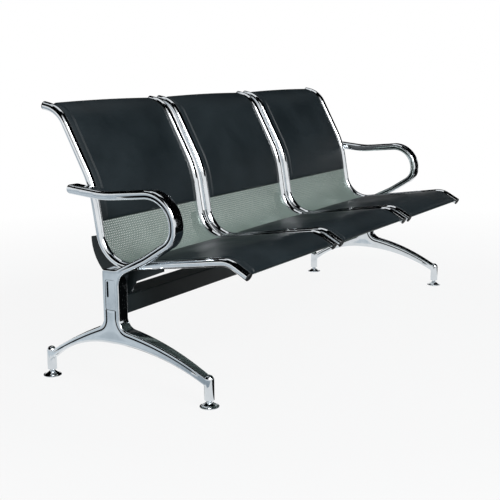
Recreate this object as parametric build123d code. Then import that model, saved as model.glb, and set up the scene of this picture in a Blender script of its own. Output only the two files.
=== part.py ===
from build123d import *
import math
import os

# Three-seat waiting bench on a beam, in millimetres.
# X runs along the bench, -Y is the front, Z is up. Outlines are drawn as (y, z).

# Row of seats
SEATS = ["left", "middle", "right"]
TUBE_SPREAD = 510.0
TUBE_D = 25.0
SEAT_GAP = 25.0
TUBE_WALL = 2.0
SHEET_T = 1.6

# Side profile of a seat, from the bend between seat and back outwards
BEND_BEHIND_BEAM = 52.0
BEND_ABOVE_BEAM = 67.0
BEND_R = 100.0
SEAT_RUN = 421.0
SEAT_RAKE = 8.0
FRONT_R = 70.0
FRONT_RUN = 70.0
FRONT_DROP = 29.5
LUMBAR_RUN = 239.0
LUMBAR_LEAN = 9.4
LUMBAR_R = 300.0
BACK_RUN = 240.0
BACK_LEAN = 27.9
ROLL_R = 90.0
ROLL_RUN = 56.5
ROLL_RISE = 11.3

# Plugs in the ends of the side tubes
PLUG_HEAD = 4.0
PLUG_DEPTH = 16.0
PLUG_ROUND = 2.5

# Pads: a flat base, sides that draw in to an edge line, and a crowned face
BACK_PAD_LENGTH = 392.0
SEAT_PAD_LENGTH = 414.0
PAD_END_INSET = 3.0
PAD_SIDE_DRAW = 21.0
PAD_EDGE_H = 10.5
PAD_CROWN_H = 17.0
PAD_LIP = 3.0
PAD_THIN_BEVEL = 26.0
PAD_ROUND_BEVEL = 12.0

# Screws that hold the pads from behind the sheet
PAD_SCREW_D = 4.0
PAD_SCREW_HEAD_D = 12.0
PAD_SCREW_HEAD_H = 2.5
PAD_SCREW_GRIP = 6.0
PAD_SCREW_SPREAD = 300.0
PAD_SCREW_MARGIN = 24.0

# Beam, its end plates and the brackets on it
BEAM_Y = 72.0
BEAM_DEPTH = 80.0
BEAM_HEIGHT = 52.0
BEAM_TOP_Z = 273.0
BEAM_WALL = 2.5
BEAM_CORNER_R = 4.0
END_PLATE_T = 8.0
END_PLATE_TAB_W = 42.0
END_PLATE_TAB_H = 46.0
BRACKET_T = 6.0
BRACKET_TOP_ANGLE = -11.5
BRACKET_HEEL_ANGLE = -52.0
BRACKET_TOP_DEPTH = 23.0
BRACKET_HEEL_DEPTH = 42.0
BRACKET_REACH = 204.0
BRACKET_NOSE = 7.0
BRACKET_KNEE_OUT = 24.0
BRACKET_KNEE_UP = 38.0
BRACKET_FOOT_MARGIN = 8.0
FLANGE_W = 44.0
FLANGE_T = 5.0

# Fasteners
BOLT_D = 8.0
BOLT_HEAD_D = 13.0
BOLT_HEAD_H = 5.5
NUT_ACROSS = 13.0
NUT_H = 6.5
BRACKET_BOLT_SPREAD = 38.0
FRAME_BOLT_SPREAD = 44.0

# End casting: column, armrest loop and two legs
FRAME_CLEAR = 6.5
FRAME_W = 45.0
FRAME_ROUND = 5.0
COLUMN_FORWARD = 11.5
COLUMN_DEPTH = 57.0
COLUMN_RISE = 80.0
COLUMN_FOOT_Z = 210.0
COLUMN_CORNER_R = 9.0
ARM_T = 21.0
ARM_TOP_T = 26.0
ARM_REAR_BACK = 135.5
ARM_REAR_UP = 217.0
ARM_DIP_BACK = 15.5
ARM_DIP_UP = 205.0
ARM_DIP_R = 320.0
ARM_FRONT_OUT = 214.5
ARM_SHOULDER_UP = 225.0
ARM_SHOULDER_R = 85.0
ARM_ELBOW_UP = 97.0
ARM_ELBOW_R = 54.0
ARM_WRIST_OUT = 120.5
ARM_WRIST_UP = 38.0
ARM_WRIST_R = 180.0
ARM_THROAT_R = 42.0
ARCH_BACK = 7.5
ARCH_Z = 136.0
FRONT_LEG_ROOT_Z = 183.0
FRONT_LEG_TIP_Z = 83.0
FRONT_LEG_HEEL_Z = 57.0
FRONT_LEG_BOW = 11.0
FRONT_CROTCH_R = 34.0
REAR_LEG_ROOT_Z = 191.0
REAR_LEG_TIP_Z = 75.0
REAR_LEG_HEEL_Z = 45.0
REAR_LEG_BOW = 4.0
REAR_CROTCH_R = 26.0
LEG_TIP_W = 27.0

# Inset plate on the outer face of the column
COVER_W = 33.0
COVER_H = 86.0
COVER_RISE = 32.0
COVER_R = 6.0
COVER_T = 2.0
COVER_SINK = 1.0
COVER_LEDGE = 4.0
COVER_POCKET = 11.0
COVER_SLOT_L = 46.0
COVER_SLOT_W = 7.0
COVER_SLOT_INSET = 7.0
COVER_SLOT_UP = 16.0

# Sockets and levelling feet
FOOT_FRONT_OUT = 313.2
FOOT_REAR_OUT = 248.5
SOCKET_D = 28.0
SOCKET_BOTTOM_Z = 20.0
SOCKET_TOP_Z = 91.0
SOCKET_BORE_TOP_Z = 80.0
STUD_D = 10.0
STUD_TOP_Z = 64.0
FOOT_D = 55.0
FOOT_RIM_H = 3.0
FOOT_CONE_D = 50.0
FOOT_NECK_D = 18.0
FOOT_CONE_TOP_Z = 16.0

# Clearances
WELD_GAP = 0.3
SOFT_GAP = 0.4
HOLE_GAP = 0.3
COVER_GAP = 0.2

SEAT_PITCH = TUBE_SPREAD + TUBE_D + SEAT_GAP
TUBE_X = TUBE_SPREAD / 2
TUBE_R = TUBE_D / 2
SHEET_HALF = TUBE_X - TUBE_R - WELD_GAP
BEAM_MID_Z = BEAM_TOP_Z - BEAM_HEIGHT / 2
ROW_HALF = SEAT_PITCH * (len(SEATS) - 1) / 2
FRAME_X = ROW_HALF + TUBE_X + TUBE_R + FRAME_CLEAR + FRAME_W / 2
FRAME_INNER_X = FRAME_X - FRAME_W / 2
FRAME_OUTER_X = FRAME_X + FRAME_W / 2
BEAM_END_X = FRAME_INNER_X - END_PLATE_T
COLUMN_Y = BEAM_Y - COLUMN_FORWARD
COLUMN_FRONT_Y = COLUMN_Y - COLUMN_DEPTH / 2
COLUMN_REAR_Y = COLUMN_Y + COLUMN_DEPTH / 2
COLUMN_TOP_Z = BEAM_TOP_Z + COLUMN_RISE
COVER_Z = BEAM_MID_Z + COVER_RISE
FOOT_FRONT_Y = COLUMN_Y - FOOT_FRONT_OUT
FOOT_REAR_Y = COLUMN_Y + FOOT_REAR_OUT
SIDES = {"left": -1, "right": 1}


def polar(origin, length, angle):
    """Point at a distance and an angle in degrees from a (y, z) point."""
    turn = math.radians(angle)
    return (origin[0] + length * math.cos(turn), origin[1] + length * math.sin(turn))


def on_side(outline, x, thickness):
    """Plate of the given thickness from a (y, z) outline, centred on a plane of constant x."""
    return Pos(x, 0, 0) * extrude(Plane.YZ * outline, thickness / 2, both=True)


def corner(outline, y, z):
    """Vertex of an outline nearest to a (y, z) point."""
    return outline.vertices().sort_by_distance((y, z, 0))[0]


# Seat profile

bend = (BEAM_Y + BEND_BEHIND_BEAM, BEAM_TOP_Z + BEND_ABOVE_BEAM)
waterfall = polar(bend, SEAT_RUN, 180 - SEAT_RAKE)
front_end = polar(waterfall, FRONT_RUN, 180 + FRONT_DROP)
lumbar = polar(bend, LUMBAR_RUN, 90 - LUMBAR_LEAN)
roll = polar(lumbar, BACK_RUN, 90 - BACK_LEAN)
top_end = polar(roll, ROLL_RUN, ROLL_RISE)
PROFILE = [top_end, roll, lumbar, bend, waterfall, front_end]
PROFILE_RADII = [ROLL_R, LUMBAR_R, BEND_R, FRONT_R]
outline_path = FilletPolyline(*PROFILE, radius=PROFILE_RADII)
seat_path = Wire(FilletPolyline(*[(0, y, z) for y, z in PROFILE], radius=PROFILE_RADII).edges())
bend_turn = math.radians(90 - SEAT_RAKE + LUMBAR_LEAN) / 2
bend_bisector = 90 + (90 - SEAT_RAKE + LUMBAR_LEAN) / 2 - LUMBAR_LEAN
bend_centre = polar(bend, BEND_R / math.cos(bend_turn), bend_bisector)


def station(length):
    """Plane across the seat profile at a length from its top end, with local y towards the sitter."""
    place = length / seat_path.length
    return Plane(origin=seat_path @ place, x_dir=(1, 0, 0), z_dir=seat_path % place)


def span(start, end):
    """Stretch of the seat profile between two lengths from its top end."""
    return seat_path.trim(start / seat_path.length, end / seat_path.length)


# Side tubes and plugs

tube_ring = Circle(TUBE_R) - Circle(TUBE_R - TUBE_WALL)
side_tube = sweep(station(0) * tube_ring, path=seat_path)

plug_head = Pos(0, 0, PLUG_HEAD / 2) * Cylinder(TUBE_R, PLUG_HEAD)
plug_head = fillet(plug_head.edges().group_by(Axis.Z)[-1], PLUG_ROUND)
plug_stem = Pos(0, 0, -PLUG_DEPTH / 2) * Cylinder(TUBE_R - TUBE_WALL - HOLE_GAP, PLUG_DEPTH)
plug = plug_head + plug_stem
front_plug = station(seat_path.length).location * plug
top_plug = station(0).location * Rot(180, 0, 0) * plug


# Perforated sheet, drawn plain, and the pads on it

back_pad_end = PAD_END_INSET + BACK_PAD_LENGTH
seat_pad_end = seat_path.length - PAD_END_INSET
seat_pad_start = seat_pad_end - SEAT_PAD_LENGTH
sheet_half_t = SHEET_T / 2
pad_base = sheet_half_t + SOFT_GAP
pad_half = TUBE_X - TUBE_R - SOFT_GAP - WELD_GAP


def pad_section():
    """Cross section of a pad: base, drawn-in sides and a crown between the two edge lines."""
    edge = pad_half - PAD_SIDE_DRAW
    crown = ThreePointArc((edge, PAD_EDGE_H), (0, PAD_CROWN_H), (-edge, PAD_EDGE_H))
    sides = Polyline((-edge, PAD_EDGE_H), (-pad_half, pad_base), (pad_half, pad_base), (edge, PAD_EDGE_H))
    return make_face(crown.edges() + sides.edges())


def end_bevel(length, outward, run):
    """Wedge that thins the end of a pad to its lip, over a run along the profile."""
    over = 2 * PAD_CROWN_H
    slope = [(over, PAD_LIP), (0, PAD_LIP), (-run, PAD_CROWN_H + SOFT_GAP)]
    wedge = Polyline(*slope, (-run, over), (over, over), close=True)
    plane = station(length)
    facing = Plane(origin=plane.origin, x_dir=plane.z_dir * outward, z_dir=plane.x_dir * -outward)
    return extrude(facing * make_face(wedge), TUBE_SPREAD, both=True)


def pad(start, end, start_run, end_run):
    """Pad along a stretch of the profile, with both ends thinned."""
    body = sweep(station(start) * pad_section(), path=span(start, end))
    return body - end_bevel(start, -1, start_run) - end_bevel(end, 1, end_run)


back_pad = pad(PAD_END_INSET, back_pad_end, PAD_ROUND_BEVEL, PAD_THIN_BEVEL)
seat_pad = pad(seat_pad_start, seat_pad_end, PAD_THIN_BEVEL, PAD_ROUND_BEVEL)
sheet = on_side(trace(outline_path, SHEET_T), 0, 2 * SHEET_HALF)


# Pad screws on the straight runs of back and seat

runs = seat_path.edges().sort_by(seat_path)
run_ends = [0.0]
for run in runs:
    run_ends.append(run_ends[-1] + run.length)
back_straight = (run_ends[2], run_ends[3])
seat_straight = (run_ends[6], run_ends[7])
screw_stations = []
for first, last in (back_straight, seat_straight):
    screw_stations += [first + PAD_SCREW_MARGIN, last - PAD_SCREW_MARGIN]
screw_places = []
for length in screw_stations:
    for x in (-PAD_SCREW_SPREAD / 2, PAD_SCREW_SPREAD / 2):
        plane = station(length)
        screw_places.append(Plane(origin=plane.origin + Vector(x, 0, 0), x_dir=(1, 0, 0), z_dir=plane.y_dir))

head = Pos(0, 0, -sheet_half_t - PAD_SCREW_HEAD_H / 2) * Cylinder(PAD_SCREW_HEAD_D / 2, PAD_SCREW_HEAD_H)
head = fillet(head.edges().group_by(Axis.Z)[0], PAD_SCREW_HEAD_H / 2)
shank_l = SHEET_T + SOFT_GAP + PAD_SCREW_GRIP
shank = Pos(0, 0, shank_l / 2 - sheet_half_t) * Cylinder(PAD_SCREW_D / 2, shank_l)
pad_screw = head + shank
screw_hole_l = 2 * (shank_l + HOLE_GAP - sheet_half_t)
screw_hole = Cylinder(PAD_SCREW_D / 2 + HOLE_GAP, screw_hole_l)
pad_screws = [place.location * pad_screw for place in screw_places]
for place in screw_places:
    cut = place.location * screw_hole
    sheet -= cut
    back_pad -= cut
    seat_pad -= cut


# Beam and end plates

def beam_rectangle(shrink):
    """Section of the beam as a (y, z) outline, drawn in by a shrink on every side."""
    radius = max(BEAM_CORNER_R - shrink, BEAM_CORNER_R / 4)
    size = RectangleRounded(BEAM_DEPTH - 2 * shrink, BEAM_HEIGHT - 2 * shrink, radius)
    return Pos(BEAM_Y, BEAM_MID_Z) * size


beam = on_side(beam_rectangle(0) - beam_rectangle(BEAM_WALL), 0, 2 * BEAM_END_X)
tab_top_z = BEAM_TOP_Z + END_PLATE_TAB_H
tab_mid_z = (tab_top_z + BEAM_MID_Z) / 2
plate_tab = Pos(COLUMN_Y, tab_mid_z) * Rectangle(END_PLATE_TAB_W, tab_top_z - BEAM_MID_Z)
end_plate = on_side(beam_rectangle(0) + plate_tab, BEAM_END_X + END_PLATE_T / 2, END_PLATE_T)
frame_bolt_z = [COVER_Z - FRAME_BOLT_SPREAD / 2, COVER_Z + FRAME_BOLT_SPREAD / 2]


# Brackets under the side tubes

tube_outer_r = BEND_R + TUBE_R + WELD_GAP


def behind_bend(angle, depth):
    """Point behind the bend of the tube, at an angle and a depth from the tube's rear surface."""
    return polar(bend_centre, tube_outer_r + depth, angle)


def bracket_web():
    """Outline of the bracket: a nose under the seat, a foot on the beam and an arm up the bend."""
    mid_angle = (BRACKET_TOP_ANGLE + BRACKET_HEEL_ANGLE) / 2
    mid_depth = (BRACKET_TOP_DEPTH + BRACKET_HEEL_DEPTH) / 2
    arm_top = behind_bend(BRACKET_TOP_ANGLE, BRACKET_TOP_DEPTH)
    arm_mid = behind_bend(mid_angle, mid_depth)
    heel = behind_bend(BRACKET_HEEL_ANGLE, BRACKET_HEEL_DEPTH)
    on_seat = polar(bend, BRACKET_REACH, 180 - SEAT_RAKE)
    nose = polar(on_seat, TUBE_R + BRACKET_NOSE, -90 - SEAT_RAKE)
    foot_front = BEAM_Y - BEAM_DEPTH / 2 + BRACKET_FOOT_MARGIN
    foot_rear = BEAM_Y + BEAM_DEPTH / 2
    knee = (foot_front - BRACKET_KNEE_OUT, BEAM_TOP_Z + BRACKET_KNEE_UP)
    arm_in = polar(bend_centre, BEND_R, BRACKET_TOP_ANGLE)
    foot = [(foot_front, BEAM_TOP_Z), (foot_rear, BEAM_TOP_Z)]
    lower = Polyline(arm_in, bend_centre, on_seat, nose, knee, *foot, heel)
    rear = ThreePointArc(heel, arm_mid, arm_top)
    blank = make_face(lower.edges() + rear.edges() + Line(arm_top, arm_in).edges())
    far = 2 * SEAT_RUN
    back_corner = (top_end[0] + far, top_end[1])
    under = Polyline(front_end, (front_end[0], -far), (back_corner[0], -far), back_corner, top_end)
    below_tube = make_face(outline_path.edges() + under.edges())
    return (blank & below_tube) - trace(outline_path, TUBE_D + 2 * WELD_GAP)


web = on_side(bracket_web(), 0, BRACKET_T)
flange_depth = BEAM_DEPTH - 2 * BRACKET_FOOT_MARGIN
flange_x = (BRACKET_T + FLANGE_W) / 2
flange = Pos(flange_x, BEAM_Y, BEAM_TOP_Z + FLANGE_T / 2) * Box(FLANGE_W, flange_depth, FLANGE_T)
bracket_bolt_x = BRACKET_T / 2 + FLANGE_W / 2
bracket_bolt_y = [BEAM_Y - BRACKET_BOLT_SPREAD / 2, BEAM_Y + BRACKET_BOLT_SPREAD / 2]
seat_bracket = web + flange
bolt_hole = Cylinder(BOLT_D / 2 + HOLE_GAP, 2 * (FLANGE_T + BEAM_WALL))
for y in bracket_bolt_y:
    seat_bracket -= Pos(bracket_bolt_x, y, BEAM_TOP_Z) * bolt_hole


def bolt(shank_length):
    """Round-headed bolt standing on z = 0, with its shank downwards."""
    bolt_head = Pos(0, 0, BOLT_HEAD_H / 2) * Cylinder(BOLT_HEAD_D / 2, BOLT_HEAD_H)
    bolt_head = fillet(bolt_head.edges().group_by(Axis.Z)[-1], BOLT_HEAD_H / 4)
    return bolt_head + Pos(0, 0, -shank_length / 2) * Cylinder(BOLT_D / 2, shank_length)


nut = extrude(RegularPolygon(NUT_ACROSS / 2, 6, major_radius=False) - Circle(BOLT_D / 2 + HOLE_GAP), -NUT_H)
bracket_bolt = bolt(FLANGE_T + BEAM_WALL + NUT_H)


# End casting

def bar_edge(points, widths, radii, side):
    """Rounded line along the left (+1) or right (-1) side of a bar whose width changes between points."""
    runs = []
    for start, end, start_w, end_w in zip(points, points[1:], widths, widths[1:]):
        along = (Vector(*end) - Vector(*start)).normalized()
        out = Vector(-along.Y, along.X) * side / 2
        runs.append((Vector(*start) + out * start_w, Vector(*end) + out * end_w))
    corners = [runs[0][0]]
    sizes = []
    for (first, last), (next_first, next_last), radius, width in zip(runs, runs[1:], radii, widths[1:]):
        run = last - first
        next_run = next_last - next_first
        turn = run.cross(next_run).Z
        corners.append(first + run * ((next_first - first).cross(next_run).Z / turn))
        sizes.append(radius - side * math.copysign(width / 2, turn))
    return FilletPolyline(*corners, runs[-1][1], radius=sizes)


def arm_outline():
    """Armrest loop and column as one (y, z) outline, with the loop thickest where the arm rests."""
    points = [
        (COLUMN_Y + ARM_REAR_BACK, COLUMN_TOP_Z + ARM_REAR_UP),
        (COLUMN_Y + ARM_DIP_BACK, COLUMN_TOP_Z + ARM_DIP_UP),
        (COLUMN_Y - ARM_FRONT_OUT, COLUMN_TOP_Z + ARM_SHOULDER_UP),
        (COLUMN_Y - ARM_FRONT_OUT, COLUMN_TOP_Z + ARM_ELBOW_UP),
        (COLUMN_Y - ARM_WRIST_OUT, COLUMN_TOP_Z + ARM_WRIST_UP),
        (COLUMN_Y, COLUMN_TOP_Z - ARM_T),
    ]
    radii = [ARM_DIP_R, ARM_SHOULDER_R, ARM_ELBOW_R, ARM_WRIST_R]
    widths = [ARM_TOP_T, ARM_TOP_T, ARM_TOP_T, ARM_T, ARM_T, ARM_T]
    left, right = [bar_edge(points, widths, radii, side) for side in (1, -1)]
    ends = Line(left @ 0, right @ 0).edges() + Line(left @ 1, right @ 1).edges()
    bar = make_face(left.edges() + right.edges() + ends)
    tip = Pos(*points[0]) * Circle(ARM_TOP_T / 2)
    column_mid_z = (COLUMN_TOP_Z + COLUMN_FOOT_Z) / 2
    column = Pos(COLUMN_Y, column_mid_z) * Rectangle(COLUMN_DEPTH, COLUMN_TOP_Z - COLUMN_FOOT_Z)
    return bar + tip + column


def leg_outline():
    """Both legs as one (y, z) outline: arched below, bowed above, running up into the column."""
    crown = (COLUMN_Y + ARCH_BACK, ARCH_Z)
    front_root = (COLUMN_FRONT_Y, FRONT_LEG_ROOT_Z)
    rear_root = (COLUMN_REAR_Y, REAR_LEG_ROOT_Z)
    front_tip = (FOOT_FRONT_Y, FRONT_LEG_TIP_Z)
    front_heel = (FOOT_FRONT_Y, FRONT_LEG_HEEL_Z)
    rear_tip = (FOOT_REAR_Y, REAR_LEG_TIP_Z)
    rear_heel = (FOOT_REAR_Y, REAR_LEG_HEEL_Z)
    pieces = [
        SagittaArc(front_root, front_tip, -FRONT_LEG_BOW),
        Line(front_tip, front_heel),
        TangentArc(crown, front_heel, tangent=(-1, 0)),
        TangentArc(crown, rear_heel, tangent=(1, 0)),
        Line(rear_heel, rear_tip),
        SagittaArc(rear_root, rear_tip, REAR_LEG_BOW),
        Polyline(rear_root, (COLUMN_REAR_Y, COLUMN_FOOT_Z), (COLUMN_FRONT_Y, COLUMN_FOOT_Z), front_root),
    ]
    return make_face([edge for piece in pieces for edge in piece.edges()])


casting_outline = arm_outline() + leg_outline()
for y, z, radius in (
    (COLUMN_FRONT_Y, FRONT_LEG_ROOT_Z, FRONT_CROTCH_R),
    (COLUMN_REAR_Y, REAR_LEG_ROOT_Z, REAR_CROTCH_R),
    (COLUMN_REAR_Y, COLUMN_TOP_Z, COLUMN_CORNER_R),
    (COLUMN_FRONT_Y, COLUMN_TOP_Z - ARM_T, ARM_THROAT_R),
    (COLUMN_FRONT_Y, COLUMN_TOP_Z, ARM_THROAT_R),
):
    casting_outline = fillet(corner(casting_outline, y, z), radius)
casting = on_side(casting_outline, 0, FRAME_W)
side_faces = casting.faces().sort_by(Axis.X)
rims = side_faces[0].edges() + side_faces[-1].edges()
casting = fillet(rims.filter_by(lambda edge: FOOT_FRONT_Y < (edge @ 0.5).Y < FOOT_REAR_Y), FRAME_ROUND)


def leg_taper(column_y, foot_y):
    """Two wedges that narrow a leg from the width of the column to the width at its foot."""
    far_y = foot_y + math.copysign(SOCKET_D, foot_y - column_y)
    half = FRAME_W / 2
    slope = (half - LEG_TIP_W / 2) / abs(foot_y - column_y)
    far_half = half - slope * abs(far_y - column_y)
    outside = [(FRAME_W, far_y), (FRAME_W, column_y)]
    wedge = Polyline((half, column_y), (far_half, far_y), *outside, close=True)
    block = extrude(make_face(wedge), BEAM_TOP_Z)
    return block + mirror(block, Plane.YZ)


casting -= leg_taper(COLUMN_FRONT_Y, FOOT_FRONT_Y)
casting -= leg_taper(COLUMN_REAR_Y, FOOT_REAR_Y)

socket_wall_top = SOCKET_TOP_Z - SOCKET_D / 2
socket_post = Pos(0, 0, SOCKET_BOTTOM_Z) * extrude(Circle(SOCKET_D / 2), socket_wall_top - SOCKET_BOTTOM_Z)
socket_post += Pos(0, 0, socket_wall_top) * Sphere(SOCKET_D / 2)
socket_bore = extrude(Circle(STUD_D / 2 + HOLE_GAP), SOCKET_BORE_TOP_Z)
for y in (FOOT_FRONT_Y, FOOT_REAR_Y):
    casting += Pos(0, y, 0) * socket_post
for y in (FOOT_FRONT_Y, FOOT_REAR_Y):
    casting -= Pos(0, y, 0) * socket_bore


# Inset plate on the column, its pocket and the bolts under it

def cover_rectangle(shrink):
    """Rounded rectangle of the inset plate as a (y, z) outline, drawn in by a shrink."""
    radius = max(COVER_R - shrink, COVER_R / 4)
    size = RectangleRounded(COVER_W - 2 * shrink, COVER_H - 2 * shrink, radius)
    return Pos(COLUMN_Y, COVER_Z) * size


def pocket(shrink, depth):
    """Pocket of the given depth in the outer face of a casting that stands at x = 0."""
    return on_side(cover_rectangle(shrink), FRAME_W / 2, 2 * depth)


cover_depth = COVER_SINK + COVER_T
slot_place = Pos(COLUMN_Y + COVER_W / 2 - COVER_SLOT_INSET, COVER_Z + COVER_SLOT_UP)
slot = slot_place * Rot(0, 0, 90) * SlotOverall(COVER_SLOT_L, COVER_SLOT_W)
casting -= pocket(0, cover_depth) + pocket(COVER_LEDGE, COVER_POCKET)
frame_bolt_hole = Rot(0, 90, 0) * Cylinder(BOLT_D / 2 + HOLE_GAP, FRAME_W)
for z in frame_bolt_z:
    casting -= Pos(0, COLUMN_Y, z) * frame_bolt_hole
    end_plate -= Pos(FRAME_INNER_X, COLUMN_Y, z) * frame_bolt_hole
cover = on_side(cover_rectangle(COVER_GAP) - slot, FRAME_OUTER_X - COVER_SINK - COVER_T / 2, COVER_T)
side_frame = Pos(FRAME_X, 0, 0) * casting
frame_bolt = bolt(FRAME_W - COVER_POCKET + END_PLATE_T)
frame_bolts = []
for z in frame_bolt_z:
    frame_bolts.append(Pos(FRAME_OUTER_X - COVER_POCKET, COLUMN_Y, z) * Rot(0, 90, 0) * frame_bolt)


# Levelling feet

foot_rim = extrude(Circle(FOOT_D / 2), FOOT_RIM_H)
cone_base = Pos(0, 0, FOOT_RIM_H) * RegularPolygon(FOOT_CONE_D / 2, 6)
cone_top = Pos(0, 0, FOOT_CONE_TOP_Z) * RegularPolygon(FOOT_NECK_D / 2, 6)
foot_cone = loft([cone_base.face(), cone_top.face()], ruled=True)
stud = Pos(0, 0, FOOT_CONE_TOP_Z) * extrude(Circle(STUD_D / 2), STUD_TOP_Z - FOOT_CONE_TOP_Z)
levelling_foot = foot_rim + foot_cone + stud


# Assembly: every node with its solids, still on the measured depth

def at_side(shape, sign):
    """Shape made for the right end (+1), or its mirror image for the left end (-1)."""
    return shape if sign > 0 else mirror(shape, Plane.YZ)


nodes = {"beam": [beam], "beam_nuts": []}
for side, sign in SIDES.items():
    nodes[f"side_frame_{side}"] = [at_side(side_frame, sign)]
    nodes[f"column_cover_{side}"] = [at_side(cover, sign)]
    nodes[f"beam_end_plate_{side}"] = [at_side(end_plate, sign)]
    nodes[f"frame_bolts_{side}"] = [at_side(item, sign) for item in frame_bolts]
    nodes[f"foot_front_{side}"] = [Pos(sign * FRAME_X, FOOT_FRONT_Y, 0) * levelling_foot]
    nodes[f"foot_rear_{side}"] = [Pos(sign * FRAME_X, FOOT_REAR_Y, 0) * levelling_foot]

for index, seat in enumerate(SEATS):
    seat_x = index * SEAT_PITCH - ROW_HALF
    nodes[f"shell_{seat}"] = [Pos(seat_x, 0, 0) * sheet]
    nodes[f"back_pad_{seat}"] = [Pos(seat_x, 0, 0) * back_pad]
    nodes[f"seat_pad_{seat}"] = [Pos(seat_x, 0, 0) * seat_pad]
    nodes[f"pad_screws_{seat}"] = [Pos(seat_x, 0, 0) * item for item in pad_screws]
    nodes[f"tube_plugs_{seat}"] = []
    nodes[f"bracket_bolts_{seat}"] = []
    for side, sign in SIDES.items():
        tube_x = seat_x + sign * TUBE_X
        nodes[f"side_tube_{seat}_{side}"] = [Pos(tube_x, 0, 0) * side_tube]
        nodes[f"tube_plugs_{seat}"] += [Pos(tube_x, 0, 0) * item for item in (front_plug, top_plug)]
        nodes[f"seat_bracket_{seat}_{side}"] = [Pos(tube_x, 0, 0) * at_side(seat_bracket, -sign)]
        bolt_x = tube_x - sign * bracket_bolt_x
        for y in bracket_bolt_y:
            nodes[f"bracket_bolts_{seat}"].append(Pos(bolt_x, y, BEAM_TOP_Z + FLANGE_T) * bracket_bolt)
            nodes["beam_nuts"].append(Pos(bolt_x, y, BEAM_TOP_Z - BEAM_WALL) * nut)
            nodes["beam"][0] -= Pos(bolt_x, y, BEAM_TOP_Z) * bolt_hole

# The origin is under the middle of the bench's box, so everything shifts by half its depth

boxes = [solid.bounding_box() for solids in nodes.values() for solid in solids]
middle_y = (min(box.min.Y for box in boxes) + max(box.max.Y for box in boxes)) / 2
os.makedirs("parts", exist_ok=True)
for name, solids in nodes.items():
    placed = [Pos(0, -middle_y, 0) * solid for solid in solids]
    export_step(placed[0] if len(placed) == 1 else Compound(children=placed), f"parts/{name}.step")

print("nodes", len(nodes), "profile length", round(seat_path.length, 1), "shift in y", round(-middle_y, 3))
for axis in "XYZ":
    low = min(getattr(box.min, axis) for box in boxes)
    high = max(getattr(box.max, axis) for box in boxes)
    print("overall", axis, round(high - low, 1))
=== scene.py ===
# %% [markdown]
# # A waiting bench of three seats
# The real bench is three padded seats on a beam, held up by two chromed castings.
# The measured solids come in first and never move. Every piece made below sits on them.

# %% Load the measured solids
import math

import bmesh
import bpy
import numpy as np
from mathutils import Matrix, Vector
from mathutils.geometry import delaunay_2d_cdt


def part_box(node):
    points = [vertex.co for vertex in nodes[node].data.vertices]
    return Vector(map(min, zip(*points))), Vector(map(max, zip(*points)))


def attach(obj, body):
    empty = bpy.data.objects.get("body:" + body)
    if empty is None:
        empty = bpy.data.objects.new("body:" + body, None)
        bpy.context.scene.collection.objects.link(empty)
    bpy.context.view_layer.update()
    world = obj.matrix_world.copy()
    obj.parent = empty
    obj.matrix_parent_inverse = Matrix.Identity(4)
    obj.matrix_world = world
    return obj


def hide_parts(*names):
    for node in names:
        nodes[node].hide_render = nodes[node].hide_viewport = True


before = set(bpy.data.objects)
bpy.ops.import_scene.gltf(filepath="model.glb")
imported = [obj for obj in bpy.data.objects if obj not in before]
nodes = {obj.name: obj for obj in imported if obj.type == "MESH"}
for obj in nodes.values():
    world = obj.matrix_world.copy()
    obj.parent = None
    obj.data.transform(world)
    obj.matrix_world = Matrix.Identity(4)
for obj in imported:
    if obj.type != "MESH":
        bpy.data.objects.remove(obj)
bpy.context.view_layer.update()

MM = 0.001
SEATS = ["left", "middle", "right"]
SIDES = {"left": -1, "right": 1}

# %% [markdown]
# ## Places
# Numbers that the solids already hold are read from them, so that nothing is fitted by eye.
# The side shape of a seat is drawn again from its own runs and angles, because a mesh holds
# only facets. All places are in metres, in the frame of the solids.

# %% Read places from the solids
def middle(node):
    """Centre of a solid's box."""
    low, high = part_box(node)
    return (low + high) / 2


beam_y = middle("beam").y
beam_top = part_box("beam")[1].z
seat_x = {seat: middle(f"shell_{seat}").x for seat in SEATS}
tube_low, tube_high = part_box("side_tube_left_left")
TUBE_R = (tube_high.x - tube_low.x) / 2
SHEET_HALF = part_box("shell_middle")[1].x
print("tube", round(2 * TUBE_R / MM, 1), "mm, seats at", [round(x, 3) for x in seat_x.values()])


# %% Draw the side shape of a seat
def polar(origin, length, angle):
    """Point at a length in millimetres and an angle in degrees from a (y, z) point."""
    turn = math.radians(angle)
    return origin + length * MM * np.array([math.cos(turn), math.sin(turn)])


def rounded(corners, radii, closed=False, step=0.5 * MM):
    """Points along a line of straight runs whose corners are rounded, about a step apart."""
    corners = [np.array(corner, float) for corner in corners]
    count = len(corners)
    inner = range(count) if closed else range(1, count - 1)
    points = [] if closed else [corners[0]]
    for index, radius in zip(inner, radii):
        corner = corners[index]
        back = corners[index - 1] - corner
        on = corners[(index + 1) % count] - corner
        back /= np.linalg.norm(back)
        on /= np.linalg.norm(on)
        half = math.acos(np.clip(back @ on, -1, 1)) / 2
        centre = corner + (back + on) / np.linalg.norm(back + on) * radius / math.sin(half)
        first = corner + back * radius / math.tan(half) - centre
        last = corner + on * radius / math.tan(half) - centre
        start = math.atan2(first[1], first[0])
        turn = math.atan2(first[0] * last[1] - first[1] * last[0], first @ last)
        pieces = max(4, int(abs(turn) * radius / step))
        for share in np.linspace(0, 1, pieces + 1):
            angle = start + turn * share
            points.append(centre + radius * np.array([math.cos(angle), math.sin(angle)]))
    points.append(points[0] if closed else corners[-1])
    return np.array(points)


def measured(points):
    """Length along a line up to each of its points."""
    return np.concatenate([[0], np.cumsum(np.linalg.norm(np.diff(points, axis=0), axis=1))])


def at_lengths(points, lengths):
    """Points of a line at the given lengths from its start."""
    along = measured(points)
    return np.stack([np.interp(lengths, along, points[:, axis]) for axis in (0, 1)], axis=1)


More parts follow.
